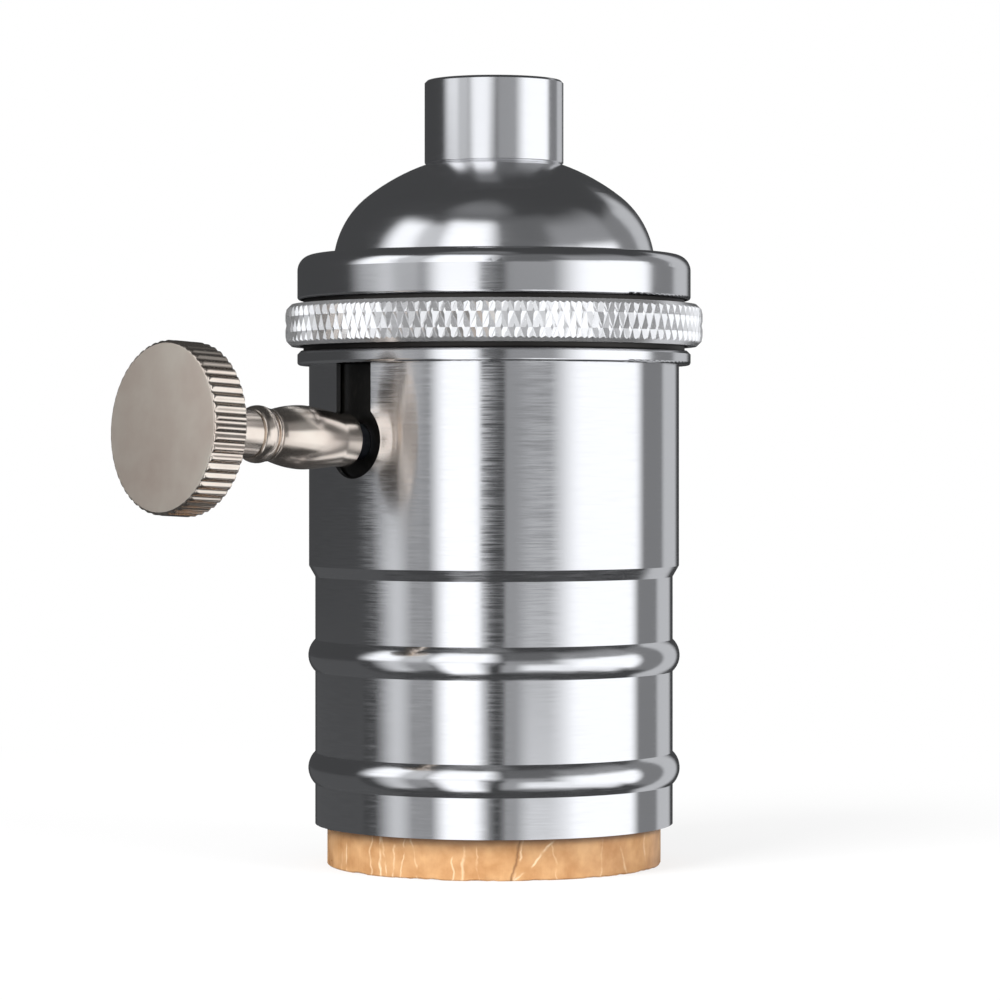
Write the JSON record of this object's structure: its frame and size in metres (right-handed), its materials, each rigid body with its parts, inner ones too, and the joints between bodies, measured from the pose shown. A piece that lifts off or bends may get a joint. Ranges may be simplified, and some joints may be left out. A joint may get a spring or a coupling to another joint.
{
  "type": "lamp holder",
  "caption": "Metal lamp holder with a screw socket, a turn-knob switch at its side, a knurled union ring and a domed cap with a threaded neck.",
  "frame": {"origin": "middle of the insulating sleeve's rim, where the lamp goes in", "axes": "+Z along the lamp's axis towards the cord entry; the knob's spindle leaves towards -X"},
  "size_m": [0.0632, 0.042, 0.0788],
  "materials": {
    "polished_aluminium": "polished, fine lathe lines",
    "kraft_board": "brown insulating board",
    "black_phenolic": "moulded phenolic",
    "brass": "pressed and turned brass",
    "spring_bronze": "phosphor bronze strip",
    "zinc_steel": "zinc-plated steel",
    "nickel_plate": "satin nickel plate on turned brass"
  },
  "bodies": {
    "holder": {"outer_shell": "polished_aluminium", "insulating_sleeve": "kraft_board", "switch_body": "black_phenolic", "shell_base": "black_phenolic", "screw_shell": "brass", "centre_contact": "spring_bronze", "contact_rivet": "brass", "blind_tie_screw": "zinc_steel", "neutral_tie_screw": "zinc_steel", "live_terminal": "brass", "neutral_terminal": "brass", "live_terminal_screw": "zinc_steel", "neutral_terminal_screw": "zinc_steel", "lamp_strip": "brass", "detent_spring": "spring_bronze"},
    "knob_group": {"knob": "nickel_plate", "spindle": "zinc_steel", "rotor": "black_phenolic", "rotor_blade": "brass", "rotor_pin": "zinc_steel"},
    "cap": {"cap_dome": "polished_aluminium", "neck_hub": "polished_aluminium"},
    "union_ring": {"knurled_ring": "polished_aluminium"}
  },
  "joints": [
    {"name": "knob_turn", "type": "hinge", "parent": "holder", "child": "knob_group", "pos_m": [0, 0, 0.0415], "axis": [-0.9986, 0, 0.0523], "continuous": true},
    {"name": "cap_lift", "type": "slide", "parent": "holder", "child": "cap", "axis": [0, 0, 1], "range_m": [0, 0.004]},
    {"name": "ring_turn", "type": "hinge", "parent": "cap", "child": "union_ring", "pos_m": [0, 0, 0.0556], "axis": [0, 0, 1], "range_deg": [0, 1440]}
  ],
  "couplings": [
    {"joint": "cap_lift", "follows": "ring_turn", "m_per_rad": 0.00015915}
  ]
}
